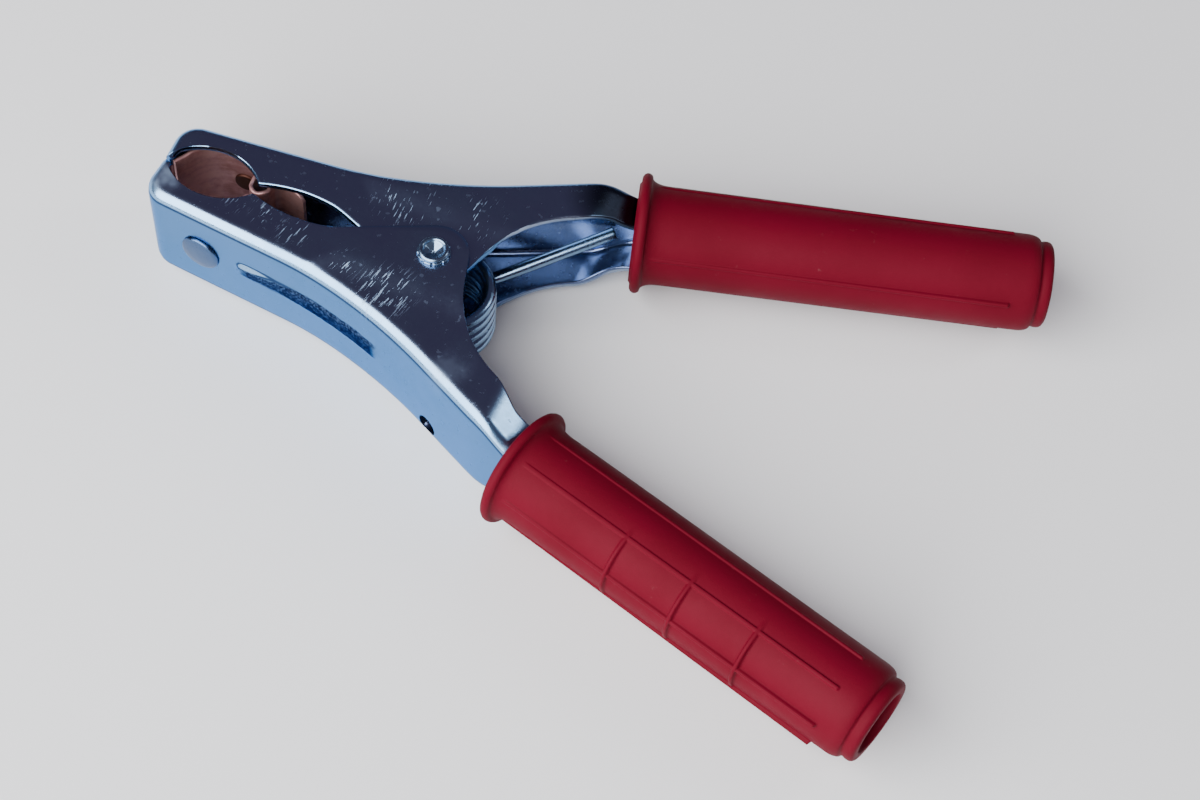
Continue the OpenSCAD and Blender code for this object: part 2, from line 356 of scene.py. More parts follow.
def bead_reflection_mask(g):
    """1 over the bead's painted dark reflection on the arm's back."""
    a, b = (Vector(pivot_point(q)) for q in BEAD_REFLECTION_MARK)
    along = (b - a).normalized()
    past = g.vector("SUBTRACT", g.co, a)
    u = g.vector("DOT_PRODUCT", past, (along.x, 0, along.z))
    w = g.vector("DOT_PRODUCT", past, (-along.z, 0, along.x))
    ragged = g.times(g.math("SUBTRACT", g.noise(420, 4, 0.65), 0.5), 0.0016)
    wide = g.ramp(u, 0.0, 0.020, 0.0015, 0.0036)
    side = g.math("SUBTRACT", g.math("ADD", g.math("ABSOLUTE", w), ragged), wide)
    ends = g.times(g.ramp(u, -0.006, -0.002), g.ramp(u, (b - a).length + 0.004, (b - a).length))
    return g.times(g.ramp(side, 0.0003, -0.0003), ends)


def scratches(g, turn, amount, seed):
    """Short parallel strokes at an angle from +X, in the clamp's plane."""
    v = g.mapping(rot=(0, 0, math.radians(90 - turn)))
    scale = (SCRATCH_SCALE * SCRATCH_THIN, SCRATCH_SCALE, SCRATCH_SCALE)
    v = g.mapping(scale=scale, loc=(seed, seed * 1.7, 0), vec=v)
    return g.ramp(g.noise(1.0, 2, 0.6, v), 1 - amount, 1 - amount + 0.035)


def facing_painted_light(g, web, bend, cheek):
    """The pressed arm's tone from the way the surface faces: painted light and shade, with a painted
    highlight on the bend, painted shade at the crease and painted light and shade inside the channel.
    """
    normal, at = g.split(g.normal), g.split(g.co)
    nz = g.math("ABSOLUTE", normal["Z"])
    tone = g.mix(g.ramp(nz, 0.24, 0.36), web + (1,), bend + (1,))
    tone = g.mix(g.ramp(nz, 0.88, 0.98), tone, cheek + (1,))
    # painted shade: a dark line where the bend meets the web
    crease = g.times(g.ramp(nz, 0.13, 0.21), g.ramp(nz, 0.35, 0.26))
    tone = g.mix(g.times(crease, 0.9), tone, CREASE_PAINTED_SHADE)
    # the inside of the channel faces back towards its middle: its back gets painted light, its cheeks painted
    # shade
    height = g.math("SUBTRACT", at["Z"], PIVOT.z * 0.001)
    back = g.ramp(g.times(normal["Y"], at["Y"]), -0.004, -0.010)
    cheeks = g.ramp(g.times(normal["Z"], height), -0.0005, -0.0035)
    return g.mix(cheeks, g.mix(back, tone, INSIDE_BACK_PAINTED_LIGHT), INSIDE_CHEEK_PAINTED_SHADE)


def metal(name, light, dark, rough, grain=0.05, pressed=False, bead=False, tail=False,
          scratched=(), worn=(), shade=None):
    """A metal whose tone and gloss drift in soft clouds.

    For a pressed arm, light and dark each hold a colour for the web, the bend and the cheek, mixed as painted
    light and shade by the way the surface faces.
    scratched lists (place, radius, turn, amount, seed), and worn (place, radius, amount).
    """
    m, b = new_material(name)
    g = Graph(m)
    b.inputs["Metallic"].default_value = 1.0
    cloud = g.noise(38, 5, 0.6)
    fine = g.noise(900, 3, 0.6)
    speck = g.ramp(g.noise(520, 2, 0.5), 0.66, 0.72)
    tones = [facing_painted_light(g, *c) if pressed else c + (1,) for c in (light, dark)]
    base = g.mix(g.ramp(cloud, 0.35, 0.72), *tones)
    r = g.add(g.ramp(cloud, 0.3, 0.7, rough * 0.85, rough * 1.25), fine, 0.05)
    r = g.add(r, speck, 0.12)
    n = g.bump(g.noise(55, 3, 0.55), 0.10 + grain, 0.0006)
    n = g.bump(fine, 0.06, 0.0002, n)
    if scratched:
        marks = 0.0
        for place, radius, turn, amount, seed in scratched:
            strokes = g.times(scratches(g, turn, amount, seed), g.spot(place, radius))
            marks = g.math("MAXIMUM", strokes, marks)
        r = g.add(r, marks, 0.35)
        base = g.mix(marks, base, SCRATCHED)
        n = g.bump(marks, 0.35, 0.0002, n)
    for place, radius, amount in worn:
        rubbed = g.times(g.spot(place, radius, (1, 1, 0.4)), g.ramp(g.noise(170, 3, 0.5), 0.20, 0.66))
        rubbed = g.times(rubbed, amount)
        base = g.mix(rubbed, base, RUBBED)
        r = g.add(r, rubbed, 0.30)
    tint = PRESSED_TINT if pressed else (1, 1, 1, 1)
    # a painted dark reflection along the bead
    if bead:
        mask = bead_reflection_mask(g)
        flecks = g.ramp(g.noise(1300, 3, 0.7), 0.46, 0.62)
        base = g.mix(mask, base, g.mix(flecks, BEAD_DARK_REFLECTION, BEAD_REFLECTION_FLECK))
        tint = g.mix(mask, tint, BEAD_REFLECTION_TINT)
        r = g.add(r, mask, 0.12)
    if tail:
        near = g.math("ABSOLUTE", g.split(g.co)["Y"])
        inner = g.ramp(near, TAIL_Y, TAIL_Y - 0.0004)
        base = g.mix(inner, base, TAIL_BROWN)
        r = g.add(r, inner, 0.25)
    if shade is not None:
        base = g.mix(g.spot(*shade), base, SHADED)
    g.put(b.inputs["Specular Tint"], tint)
    g.link(base, b.inputs["Base Color"])
    g.link(g.math("MINIMUM", r, 0.9), b.inputs["Roughness"])
    g.link(n, b.inputs["Normal"])
    return m


def copper_metal(name, light, dark):
    """Copper that use has smeared and worn."""
    m, b = new_material(name)
    g = Graph(m)
    b.inputs["Metallic"].default_value = 0.85
    cloud = g.noise(60, 5, 0.65)
    smear = g.noise(1.0, 4, 0.6, g.mapping(scale=(60, 60, 420)))
    worn = g.ramp(g.add(g.times(cloud, 0.75), smear, 0.25), 0.38, 0.62)
    g.link(g.mix(worn, dark + (1,), light + (1,)), b.inputs["Base Color"])
    g.link(g.ramp(worn, 0, 1, 0.58, 0.46), b.inputs["Roughness"])
    n = g.bump(smear, 0.15, 0.0004)
    n = g.bump(g.noise(700, 3, 0.6), 0.12, 0.0002, n)
    g.link(n, b.inputs["Normal"])
    return m


def moulded_plastic(name, light, dark):
    """Matt plastic with a fine grain and a little dust."""
    m, b = new_material(name)
    g = Graph(m)
    cloud = g.noise(30, 4, 0.55)
    fine = g.noise(1500, 3, 0.6)
    grain = g.noise(420, 4, 0.6)
    dust = g.ramp(g.noise(260, 4, 0.7), 0.66, 0.80)
    base = g.mix(g.ramp(cloud, 0.3, 0.75), light + (1,), dark + (1,))
    g.link(g.mix(g.times(dust, 0.05), base, DUST), b.inputs["Base Color"])
    g.link(g.add(g.ramp(cloud, 0.3, 0.7, 0.50, 0.60), grain, 0.08), b.inputs["Roughness"])
    b.inputs["Specular IOR Level"].default_value = 0.08
    n = g.bump(grain, 0.10, 0.0006)
    n = g.bump(fine, 0.10, 0.0002, n)
    g.link(n, b.inputs["Normal"])
    return m


zinc_lower = metal(
    "zinc_lower", PRESSED_LIGHT, PRESSED_DARK, 0.20, pressed=True, bead=True,
    worn=[((-83.5, -6.5, 18), 0.0075, 0.9), ((20.5, -32.5, 19), 0.0085, 0.34)],
    scratched=[
        ((-60, -4.6, 18), 0.0075, 80, 0.38, 3.1),
        ((-50, -6.4, 18), 0.0075, 78, 0.38, 5.7),
        ((-40.5, -9.6, 18), 0.0070, 78, 0.38, 7.7),
        ((-7.5, -17.5, 19), 0.0120, 76, 0.40, 9.2),
        ((-22, -13.5, 19), 0.0060, 70, 0.40, 4.4),
    ])
zinc_upper = metal(
    "zinc_upper", PRESSED_LIGHT, PRESSED_DARK, 0.20, pressed=True, shade=((43, 43, 15), 0.020),
    scratched=[((-16, 15, 18), 0.013, 92, 0.35, 1.4), ((6, 18, 18), 0.010, 84, 0.36, 2.2)])
rivet_metal = metal("rivet_metal", (0.27, 0.39, 0.54), (0.20, 0.31, 0.44), 0.24, 0.12)
stud_metal = metal("stud_metal", (0.075, 0.13, 0.245), (0.055, 0.10, 0.20), 0.26, 0.10, tail=True)
spring_metal = metal("spring_metal", (0.25, 0.38, 0.56), (0.17, 0.29, 0.46), 0.20, 0.04)
copper = copper_metal("copper_worn", (0.62, 0.36, 0.34), (0.34, 0.165, 0.165))
red = moulded_plastic("red_plastic", (0.124, 0.0022, 0.0125), (0.108, 0.0016, 0.0100))


# ---------------------------------------------------------------- pressed arms
SHEET = 2.0
BEND_R = 4.0
HALF_W = 18.2
NECK_HALF_W = 11.4
NECK_X = (36, 46.5)                 # the arm narrows towards its tang over this stretch
JOGGLE = 1.15                       # the lower arm steps out by this at the pivot, the upper one in
JOGGLE_X = (-33, -26, 13, 20)
JOGGLE_V = (11, 18)
HANDLE_A = 15.74                    # how far a handle and a jaw lean from the closing plane
JAW_A = 5.6
PIVOT_HOLE_R = 3.95
STUD_AT = (-69.0, 16.4)
STUD_HOLE_R = 2.55
LUG_AT, LUG_LEAN, LUG_R = (14.4, -36.8, -12.6), 26.8, 3.5
CUT_DEPTH = 9                       # well over the sheet, and short of the far side

# start, heading and moves, for walk(): the back of an arm and its free edge, nose to tang
BACK = ([-88.3, 0.9], 93, [
    (6.38, 0), (JAW_A - 93, 7.5), (40.64, 0), (8.4, 118), (12.8, 173), (19.5, 0),
    (HANDLE_A - JAW_A - 21.2, 71), (84, 0)])
EDGE = ([-87.2, 0.7], 51.4, [
    (1.28, 0), (-101.2, 18.5), (69.6, 0.4), (-45.4, 43.8), (22, 0), (99.8, 9.8), (8.9, 0),
    (-47.4, 39.7), (1, 0), (11, 20), (5, 0), (HANDLE_A - 37.8, 8), (85.8, 0)])
# round the nose, x on the free edge and the length along the back that it is joined to
NOSE_PAIRS = ((-86.4, 0.9), (-84.3, 3.2), (-82.2, 5.4), (-80.2, 8.0), (-78.2, 12.2), (-76.2, 16.6))

# the stiffening bead on the back: from and to in x, middle, half width and height along it
BEAD_X = (-57.0, -4.0)
BEAD_MID_Z = (1.5, 0.3)
BEAD_HALF = (3.0, 4.0, 4.4)
BEAD_RISE = (1.0, 0.45)


def half_width(x, v, step):
    """Half of the channel's width at (x, v), with its steps rounded off."""
    shifts = np.linspace(-0.8, 0.8, 7)
    base = along = up = 0
    for d in shifts:
        base = base + np.interp(x + 3.5 * d, NECK_X, [HALF_W, NECK_HALF_W])
        along = along + np.interp(x + d, JOGGLE_X, [0, 1, 1, 0])
        up = up + np.interp(v + d, JOGGLE_V, [1, 0])
    return (base + step * np.minimum(along, up)) / len(shifts)


def nearest_distance(points, line):
    """How far each point is from a line."""
    a, b = line[:-1], line[1:]
    d = b - a
    out = np.empty(len(points))
    for i, p in enumerate(points):
        t = np.clip(((p - a) * d).sum(1) / np.maximum((d * d).sum(1), 1e-12), 0, 1)
        out[i] = np.sqrt((((a + d * t[:, None]) - p) ** 2).sum(1)).min()
    return out


def arm_stations():
    """Matching points on the arm's back, its fold line and its free edge, and the whole back."""
    edge = walk(*EDGE, 0, 5, 0.9)
    back = walk(*BACK, 0, 4, 0.8)
    fold = walk(*BACK, -BEND_R, 4, 0.8)
    s_back, s_edge = lengths(back), lengths(edge)
    keys_edge, keys_back = [0.0], [0.0]
    for x, s in NOSE_PAIRS:
        keys_edge.append(float(np.interp(x, edge[:, 0], s_edge)))
        keys_back.append(s)
    for x in np.arange(-72, 126, 2.0):
        lean = 4.5 * max(0.0, min(1.0, (-60 - x) / 12))
        keys_edge.append(float(np.interp(x, edge[:, 0], s_edge)))
        keys_back.append(float(np.interp(x - lean, fold[:, 0], s_back)))
    keys_edge.append(s_edge[-1])
    keys_back.append(s_back[-1])
    wanted = np.interp(s_edge, keys_edge, keys_back)
    on_back, on_fold = (np.stack([np.interp(wanted, s_back, line[:, k]) for k in range(2)], 1)
                        for line in (back, fold))
    return on_back, on_fold, edge, back


def arm_surface(step):
    """The arm's outer surface: rows from one free edge over the back to the other."""
    n_bend, n_fill, n_web = 10, 12, 36
    b, f, e, back_line = arm_stations()
    inward = (f - b) / BEND_R
    rows = []
    for i in range(len(b)):
        depth = np.dot(e[i] - b[i], inward[i])
        round_off = BEND_R if depth > BEND_R / 0.6 else 0.6 * max(depth, 0.3)
        bend = [b[i] + inward[i] * round_off * (k / n_bend) ** 1.15 for k in range(n_bend + 1)]
        fill = [bend[-1] + (e[i] - bend[-1]) * k / n_fill for k in range(1, n_fill + 1)]
        rows.append(bend + fill)
    rows = np.array(rows)
    flat = rows.reshape(-1, 2)
    o = np.minimum(nearest_distance(flat, back_line), BEND_R)
    w = half_width(flat[:, 0], flat[:, 1], step)
    z = w - BEND_R + np.sqrt(np.maximum(BEND_R ** 2 - (BEND_R - o) ** 2, 0))
    top = np.concatenate([rows, z.reshape(rows.shape[:2] + (1,))], 2)[:, ::-1]
    low = top[:, ::-1] * np.array([1, 1, -1])
    w_back = half_width(b[:, 0], b[:, 1], step) - BEND_R
    t = np.linspace(1, -1, n_web + 1)[1:-1]
    web = np.zeros((len(b), len(t), 3))
    web[:, :, :2] = b[:, None]
    web[:, :, 2] = w_back[:, None] * t[None, :]
    web[:, :, :2] -= inward[:, None] * bead_rise(b, web[:, :, 2])[:, :, None]
    return np.concatenate([top, web, low], 1)


def bead_rise(b, z):
    """How far the bead stands off the back: a long mound with round ends."""
    s = lengths(b)
    s0, s1 = np.interp(BEAD_X, b[:, 0], s)
    mid_z = np.interp(s, [s0, s1], BEAD_MID_Z)
    half = np.interp(s, [s0, s0 + 12, s1], BEAD_HALF)
    over = np.maximum(np.maximum(s0 + half - s, s - (s1 - half)), 0)
    d = np.sqrt(over[:, None] ** 2 + (z - mid_z[:, None]) ** 2) / half[:, None]
    tall = np.interp(s, [s0 + 6, s0 + 14], BEAD_RISE)
    return tall[:, None] * smooth01((1.0 - d) / 0.6)


def sheet_solid(p, thick):
    """Outer surface, inner surface a sheet's thickness below it, and rounded rims."""
    rim_in, rim_down = 0.22, 0.28
    nrm = np.cross(np.gradient(p, axis=0), np.gradient(p, axis=1))
    nrm /= np.maximum(np.linalg.norm(nrm, axis=2)[:, :, None], 1e-9)
    if np.sum(nrm[:, 0, 2]) < 0:
        nrm = -nrm
    n, m, _ = p.shape
    loop = rim_loop(n, m)
    outer, inner = p.copy(), p - nrm * thick
    for i, j in loop:
        q = p[min(max(i, 1), n - 2), min(max(j, 1), m - 2)] - p[i, j]
        q = q - nrm[i, j] * np.dot(q, nrm[i, j])
        q = q / max(np.linalg.norm(q), 1e-9) * rim_in
        outer[i, j] += q
        inner[i, j] += q
    rims = [[p[i, j] - nrm[i, j] * level for i, j in loop] for level in (rim_down, thick - rim_down)]
    return two_skins(outer, inner, rims, loop)


def cutter(name, at, axis, r, h):
    """A cylinder to cut with. Its faces have to point outwards, or the cut fails."""
    v, f = lathe([(0, -h / 2), (r, -h / 2), (r, h / 2), (0, h / 2)], 48)
    q = Vector(axis).to_track_quat("Z", "Y").to_matrix()
    v = np.array([list(q @ Vector(p)) for p in v]) + np.array(at)
    me = bpy.data.meshes.new(name)
    me.from_pydata([tuple(p) for p in to_frame(v)], [], f)
    mend_normals(me)
    o = bpy.data.objects.new(name, me)
    bpy.context.scene.collection.objects.link(o)
    return o


def cut(obj, cutters):
    """Takes the cutters out of obj's mesh for good, and removes them."""
    for c in cutters:
        mod = obj.modifiers.new("cut", "BOOLEAN")
        mod.operation = "DIFFERENCE"
        mod.solver = "EXACT"
        mod.object = c
    dg = bpy.context.evaluated_depsgraph_get()
    dg.update()
    me = bpy.data.meshes.new_from_object(obj.evaluated_get(dg))
    old = obj.data
    obj.modifiers.clear()
    obj.data = me
    me.name = obj.name
    bpy.data.meshes.remove(old)
    for c in cutters:
        bpy.data.objects.remove(c)
    for p in me.polygons:
        p.use_smooth = True
    me.set_sharp_from_angle(angle=math.radians(62))


def on_side(v, side):
    """Points drawn for the upper arm, mirrored for the lower one where side is -1."""
    v = np.array(v, float)
    v[:, 1] *= side
    return v


def out_of_back(side, lean):
    """The direction out of an arm's back, where the back leans so far from the closing plane."""
    a = math.radians(lean)
    return -math.sin(a), side * math.cos(a), 0


def make_arm(name, side, step, material, body, node):
    v, faces = sheet_solid(arm_surface(step), SHEET)
    o = mesh_object(name, to_frame(on_side(v, side)), faces, material, None)
    x, y = STUD_AT
    cutters = [
        cutter("pivot_hole", (0, 0, 0), (0, 0, 1), PIVOT_HOLE_R, 60),
        cutter("stud_hole", (x, side * y, 0), out_of_back(side, JAW_A), STUD_HOLE_R, CUT_DEPTH)]
    if side < 0:
        cutters.append(cutter("lug_hole_cut", LUG_AT, out_of_back(side, LUG_LEAN), LUG_R, CUT_DEPTH))
    cut(o, cutters)
    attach(o, body)
    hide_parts(node)


make_arm("arm_lower", -1, JOGGLE, zinc_lower, LOWER, "lower_arm")
make_arm("arm_upper", 1, -JOGGLE, zinc_upper, UPPER, "upper_arm")


# ---------------------------------------------------------------- copper strips
STRIP_T = 1.2
STRIP_HALF = 15
STRIP = ([-84.9, 0.6], 62, [
    (6.27, 0), (JAW_A - 62, 12), (7.2, 0), (-88 - JAW_A, 3.2), (6.6, 0), (176, 3.4),
    (1.2, 0), (-100, 2), (7.5, 0)])


def make_strip(name, side, body, node):
    face = walk(*STRIP, 0, 9, 0.9)
    behind = walk(*STRIP, STRIP_T, 9, 0.9)
    z = np.linspace(-STRIP_HALF, STRIP_HALF, 31)
    n, m = len(face), len(z)
    s = lengths(face)
    # the tail's end is sheared round, and the edges are a little uneven
    end = np.clip((s - (s[-1] - 5)) / 5, 0, 1)
    half = STRIP_HALF - 3.2 * (1 - np.sqrt(np.maximum(1 - end ** 2, 0)))
    half = half + 0.12 * np.sin(s * 1.3) * (1 - end)
    across = (z[None, :] / STRIP_HALF * half[:, None])[:, :, None]
    p, q = (np.concatenate([np.repeat(line[:, None], m, 1), across], 2) for line in (face, behind))
    d = (q - p) / STRIP_T
    soft = 0.22
    for skin in (p, q):
        skin[:, 0, 2] += soft
        skin[:, -1, 2] -= soft
    loop = rim_loop(n, m)
    edge_z = {0: -soft, m - 1: soft}
    rims = [[p[i, j] + d[i, j] * level + np.array([0, 0, edge_z.get(j, 0)]) for i, j in loop]
            for level in (soft, STRIP_T - soft)]
    v, faces = two_skins(p, q, rims, loop)
    o = mesh_object(name, to_frame(on_side(v, side)), faces, copper, None)
    at = (STUD_AT[0], side * 13, 0)
    cut(o, [cutter("strip_hole", at, out_of_back(side, JAW_A), STUD_HOLE_R, 6)])
    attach(o, body)
    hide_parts(node)


make_strip("contact_lower", -1, LOWER, "lower_contact")
make_strip("contact_upper", 1, UPPER, "upper_contact")


# ---------------------------------------------------------------- rivets
PIVOT_R = 3.9
WASHER_R, WASHER_BORE_R, NOTCHES, NOTCH_DEPTH = 5.0, 3.92, 10, 0.35


def make_stud(name, side, body, node):
    """A contact rivet: its low domed head outside the arm, its shank and its tail."""
    profile = rounded([(0, 1.59), (3.4, 1.45), (5.4, 1.2), (6.1, 0.85), (6.35, 0.12), (2.5, 0.02),
                       (2.5, -3.6), (3.6, -3.6), (3.3, -4.5), (0, -4.5)], 0.35, 5)
    v, f = lathe(profile, 56)
    rot = Vector(out_of_back(1, JAW_A)).to_track_quat("Z", "Y").to_matrix()
    v = np.array([list(rot @ Vector(p)) for p in v]) + np.array(STUD_AT + (0,))
    o = mesh_object(name, to_frame(on_side(v, side)), f, stud_metal, body)
    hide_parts(node)


make_stud("contact_rivet_lower", -1, LOWER, "lower_contact_rivet")
make_stud("contact_rivet_upper", 1, UPPER, "upper_contact_rivet")


def make_pivot_rivet():
    wide = HALF_W + JOGGLE
    top = wide + 0.9
    under = wide + 1.8
    cone_r = 3.2
    profile = rounded([
        (0, -under), (3.0, -under), (5.4, -under + 0.8), (6.0, -wide - 0.02), (PIVOT_R, -wide - 0.01),
        (PIVOT_R, top + 0.01), (4.6, top + 0.02), (4.6, top + 0.7), (4.2, top + 1.1), (3.7, top + 1.2),
        (3.3, top + 1.02), (2.95, top + 0.4), (0.5, top - 0.9), (0, top - 0.9)], 0.3, 5)
    v, f = lathe(profile, 96)
    # the punch that spread the end left flats in the cone and a slightly uneven rim
    for p in v:
        r, a = math.hypot(p[0], p[1]), math.atan2(p[1], p[0])
        if p[2] > top - 1.2 and r < cone_r:
            fade = min(1, r / 2.0) * (cone_r - r) / cone_r
            p[2] += 0.48 * abs(math.sin(3 * a + 0.4)) * fade
        elif p[2] > top and r > 3.0:
            p[2] += 0.06 * math.sin(5 * a + 1.0)
    o = mesh_object("pivot_rivet_formed", to_frame(v), f, rivet_metal, LOWER)
    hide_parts("pivot_rivet")


make_pivot_rivet()


def make_washer():
    """A notched ring: its outline steps in at each notch."""
    high, low = WASHER_R, WASHER_R - NOTCH_DEPTH
    notch = ((-0.14, high), (-0.085, high), (-0.07, low), (0.07, low), (0.085, high), (0.14, high))
    ring = []
    for k in range(NOTCHES):
        a = 2 * math.pi * k / NOTCHES
        ring += [(a + off, r) for off, r in notch]
        ring.append((a + math.pi / NOTCHES, high))
    z0 = HALF_W + JOGGLE
    v = []
    for z, back_off in ((0.0, 0.12), (0.12, 0.0), (0.72, 0.0), (0.9, 0.18)):
        v += [((r - back_off) * math.cos(a), (r - back_off) * math.sin(a), z0 + z) for a, r in ring]
    for z in (0.9, 0.0):
        v += [(WASHER_BORE_R * math.cos(a), WASHER_BORE_R * math.sin(a), z0 + z) for a, r in ring]
    faces = grid_faces(6, len(ring), wrap_n=True, wrap_m=True)
    o = mesh_object("pivot_washer_formed", to_frame(v), faces, rivet_metal, LOWER)
    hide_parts("pivot_washer")


make_washer()


# ---------------------------------------------------------------- torsion spring
WIRE_R = 2.0
COIL_R = 12.3
COIL_PITCH = 4.15
COIL_AT = np.array([5.7, -2.3])
COIL_LOW = -12.6
KNEE = 16                              # each leg bends a little this far from the coil
LEG_UP = np.array([40.6, 44.2, -3.0])
LEG_LOW = np.array([40.6, -44.2, 0.0])


def leave_angle(to, side):
    """Where round the coil a straight wire to a point leaves it."""
    d = to[:2] - COIL_AT
    return math.atan2(d[1], d[0]) + side * math.acos(COIL_R / np.linalg.norm(d))


def on_coil(a, z):
    return np.array([COIL_AT[0] + COIL_R * math.cos(a), COIL_AT[1] + COIL_R * math.sin(a), z])


def make_spring():
    a0 = leave_angle(LEG_UP, 1)
    a1 = leave_angle(LEG_LOW, -1) + 2 * math.pi * 6
    turns = (a1 - a0) / (2 * math.pi)
    z1 = COIL_LOW + turns * COIL_PITCH
    n = int(turns * 56)
    path = [on_coil(a0 + (a1 - a0) * k / n, COIL_LOW + (z1 - COIL_LOW) * k / n) for k in range(n + 1)]
    v, f = sweep(path, WIRE_R)
    coil = mesh_object("spring_coil", to_frame(v), f, spring_metal, None)
    for name, side, a, z, to, body in (("spring_leg_upper", 1, a0, COIL_LOW, LEG_UP, UPPER),
                                       ("spring_leg_lower", -1, a1, z1, LEG_LOW, LOWER)):
        start = on_coil(a, z)
        along = side * np.array([math.sin(a), -math.cos(a), 0])
        p = rounded([start - along * 0.4, start + along * KNEE, to], 6, 10)
        end = lengths(p)[-1]
        p = at_length(p, np.concatenate([np.linspace(0, end - 0.7, 40), [end - 0.35, end - 0.12, end]]))
        r = np.full(len(p), WIRE_R)
        r[-3:] = [WIRE_R - 0.02, WIRE_R - 0.14, WIRE_R - 0.4]
        v, f = sweep(p, r)
        mesh_object(name, to_frame(v), f, spring_metal, body)
    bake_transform(coil)
    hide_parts("torsion_spring")


make_spring()


# ---------------------------------------------------------------- sleeves
GRIP_R, GRIP_END_R, GRIP_L = 15.15, 14.75, 124.2
FLANGE_R, FLANGE_T = 18.4, 3.2
FLANGE_AT = (48.46, 45.35)
SHOULDER = 116.3                       # where the body rounds off towards the lip
BORE_R, ENTRY_R = 13.25, 9.7
RIB_FROM, RIB_TO = 1.6, 112.0
# long ribs: their angle round the sleeve, and how far they stand off it at either end
LONG_RIBS = (
    (-116, 0.3, 0.2), (-69, 0.25, 0.2), (-21, 0.3, 1.0), (21, 0.3, 1.0), (69, 0.3, 0.2), (171, 0.4, 0.8))
RING_RIBS = (40.5, 62.6, 85.2)
RING_MID, RING_H, RING_OFF = -24.5, 1.1, 2.6


def body_r(s):
    """The sleeve's draft: it tapers from the flange to its shoulder."""
    return GRIP_R + (GRIP_END_R - GRIP_R) * s / SHOULDER


def sleeve_profile():
    """(radius, distance from the flange's middle), outside from the flange to the lip."""
    ft = FLANGE_T / 2
    pts = [(BORE_R + 0.3, -ft - 0.6), (GRIP_R - 0.3, -ft - 0.6), (GRIP_R + 0.4, -ft - 0.1),
           (FLANGE_R - 1.3, -ft), (FLANGE_R - 0.5, -ft * 0.72), (FLANGE_R - 0.08, -ft * 0.3),
           (FLANGE_R, 0.1), (FLANGE_R - 0.12, ft * 0.45), (FLANGE_R - 0.55, ft * 0.85),
           (FLANGE_R - 1.2, ft)]
    fall = FLANGE_R - 1.2 - GRIP_R
    for a in np.linspace(0, math.pi / 2, 12)[1:]:
        pts.append((FLANGE_R - 1.2 - fall * math.sin(a) ** 0.9, ft + 5.2 * (1 - math.cos(a))))
    pts += [(body_r(s), s) for s in np.linspace(ft + 6.0, SHOULDER - 0.7, 96)]
    for a in np.linspace(0, math.pi / 2, 9)[1:]:
        pts.append((GRIP_END_R - 1.45 * (1 - math.cos(a)), SHOULDER + 3.95 * math.sin(a)))
    pts += [(13.02, 120.55), (12.92, 120.85), (12.98, 121.15), (13.12, 121.7), (13.12, 122.6), (13.0, 123.2),
            (12.65, 123.75), (12.15, 124.1), (11.4, 124.18), (10.3, 124.2), (9.95, 124.14), (9.75, 123.9)]
    return pts


def outer_rings():
    """The outside profile, with closer rings at the short ribs and at the long ribs' ends."""
    flange_end, body_end = 8, SHOULDER - 0.6
    steps = (-1.25, -0.95, -0.7, -0.5, -0.25, 0, 0.25, 0.5, 0.7, 0.95, 1.25)
    close = [s + d for s in RING_RIBS for d in steps]
    close += [RIB_TO + d for d in (-0.9, -0.5, -0.25, 0.0, 0.3, 0.7)]
    profile = sleeve_profile()
    body = [q for q in profile if flange_end <= q[1] <= body_end and all(abs(q[1] - s) > 0.35 for s in close)]
    body = sorted(body + [(body_r(s), s) for s in close], key=lambda q: q[1])
    return [q for q in profile if q[1] < flange_end] + body + [q for q in profile if q[1] > body_end]


def inner_rings():
    """The cable entry and the bore, from the lip back to the flange."""
    lead = ENTRY_R + 0.3
    rings = [(ENTRY_R, GRIP_L - 1.0), (ENTRY_R, GRIP_L - 2.6), (lead, GRIP_L - 3.0)]
    rings += [(lead + (BORE_R - lead) * t, GRIP_L - 3.0 - 3.3 * t) for t in (0.5, 1.0)]
    return rings + [(BORE_R, s) for s in (90, 60, 30, 6, -FLANGE_T / 2 - 0.4)]


def turned(angle):
    """An angle brought within half a turn of 0."""
    return (angle + 180) % 360 - 180


def sleeve_angles(ribs):
    """Degrees round the sleeve, closer together at each rib."""
    steps = (-4.6, -3.7, -3.1, -2.5, -1.9, -1.2, 0, 1.2, 1.9, 2.5, 3.1, 3.7, 4.6)
    angles = list(np.arange(0, 360, 4.0))
    for rib in ribs:
        angles = [a for a in angles if abs(turned(a - rib)) > 5.2]
        angles += [(rib + d) % 360 for d in steps]
    return np.array(sorted(set(round(a, 3) for a in angles)))


def rib_shape(d, half, soft):
    """1 on top of a rib, 0 beside it."""
    return 1 - smooth01((np.abs(d) - half) / soft)


def ribbed(outer, loc, side):
    """The outside radius at each ring and angle, with its ribs."""
    s, plain = outer[:, 1], outer[:, 0:1]
    r = np.repeat(plain, len(loc), 1)
    arc = math.radians(1.0) * GRIP_R
    for at, low, high in LONG_RIBS:
        across = rib_shape(turned(loc - side * at) * arc, 0.40, 0.45)[None, :]
        along = smooth01((s - RIB_FROM) / 1.2) * (1 - smooth01((s - RIB_TO + 0.5) / 0.5))
        top = GRIP_R + low + (high - low) * (s - RIB_FROM) / (RIB_TO - RIB_FROM)
        r = np.maximum(r, plain + np.maximum(top[:, None] - plain, 0) * across * along[:, None])
    # each short rib is a disc set off the axis, so it fades out at both ends
    turn = np.radians(loc - side * RING_MID)
    disc_r = GRIP_R + RING_H - RING_OFF
    disc = RING_OFF * np.cos(turn) + np.sqrt(disc_r ** 2 - (RING_OFF * np.sin(turn)) ** 2)
    for at in RING_RIBS:
        along = rib_shape(s - at, 0.35, 0.62)[:, None]
        r = np.maximum(r, plain + np.maximum(disc[None, :] - plain, 0) * along)
    # the moulding is slightly uneven
    wave = 0.05 * np.sin(np.radians(loc * 3 + 20))[None, :] * np.sin(s / 23.0)[:, None]
    return r + wave * ((s > 8) & (s < 118))[:, None]


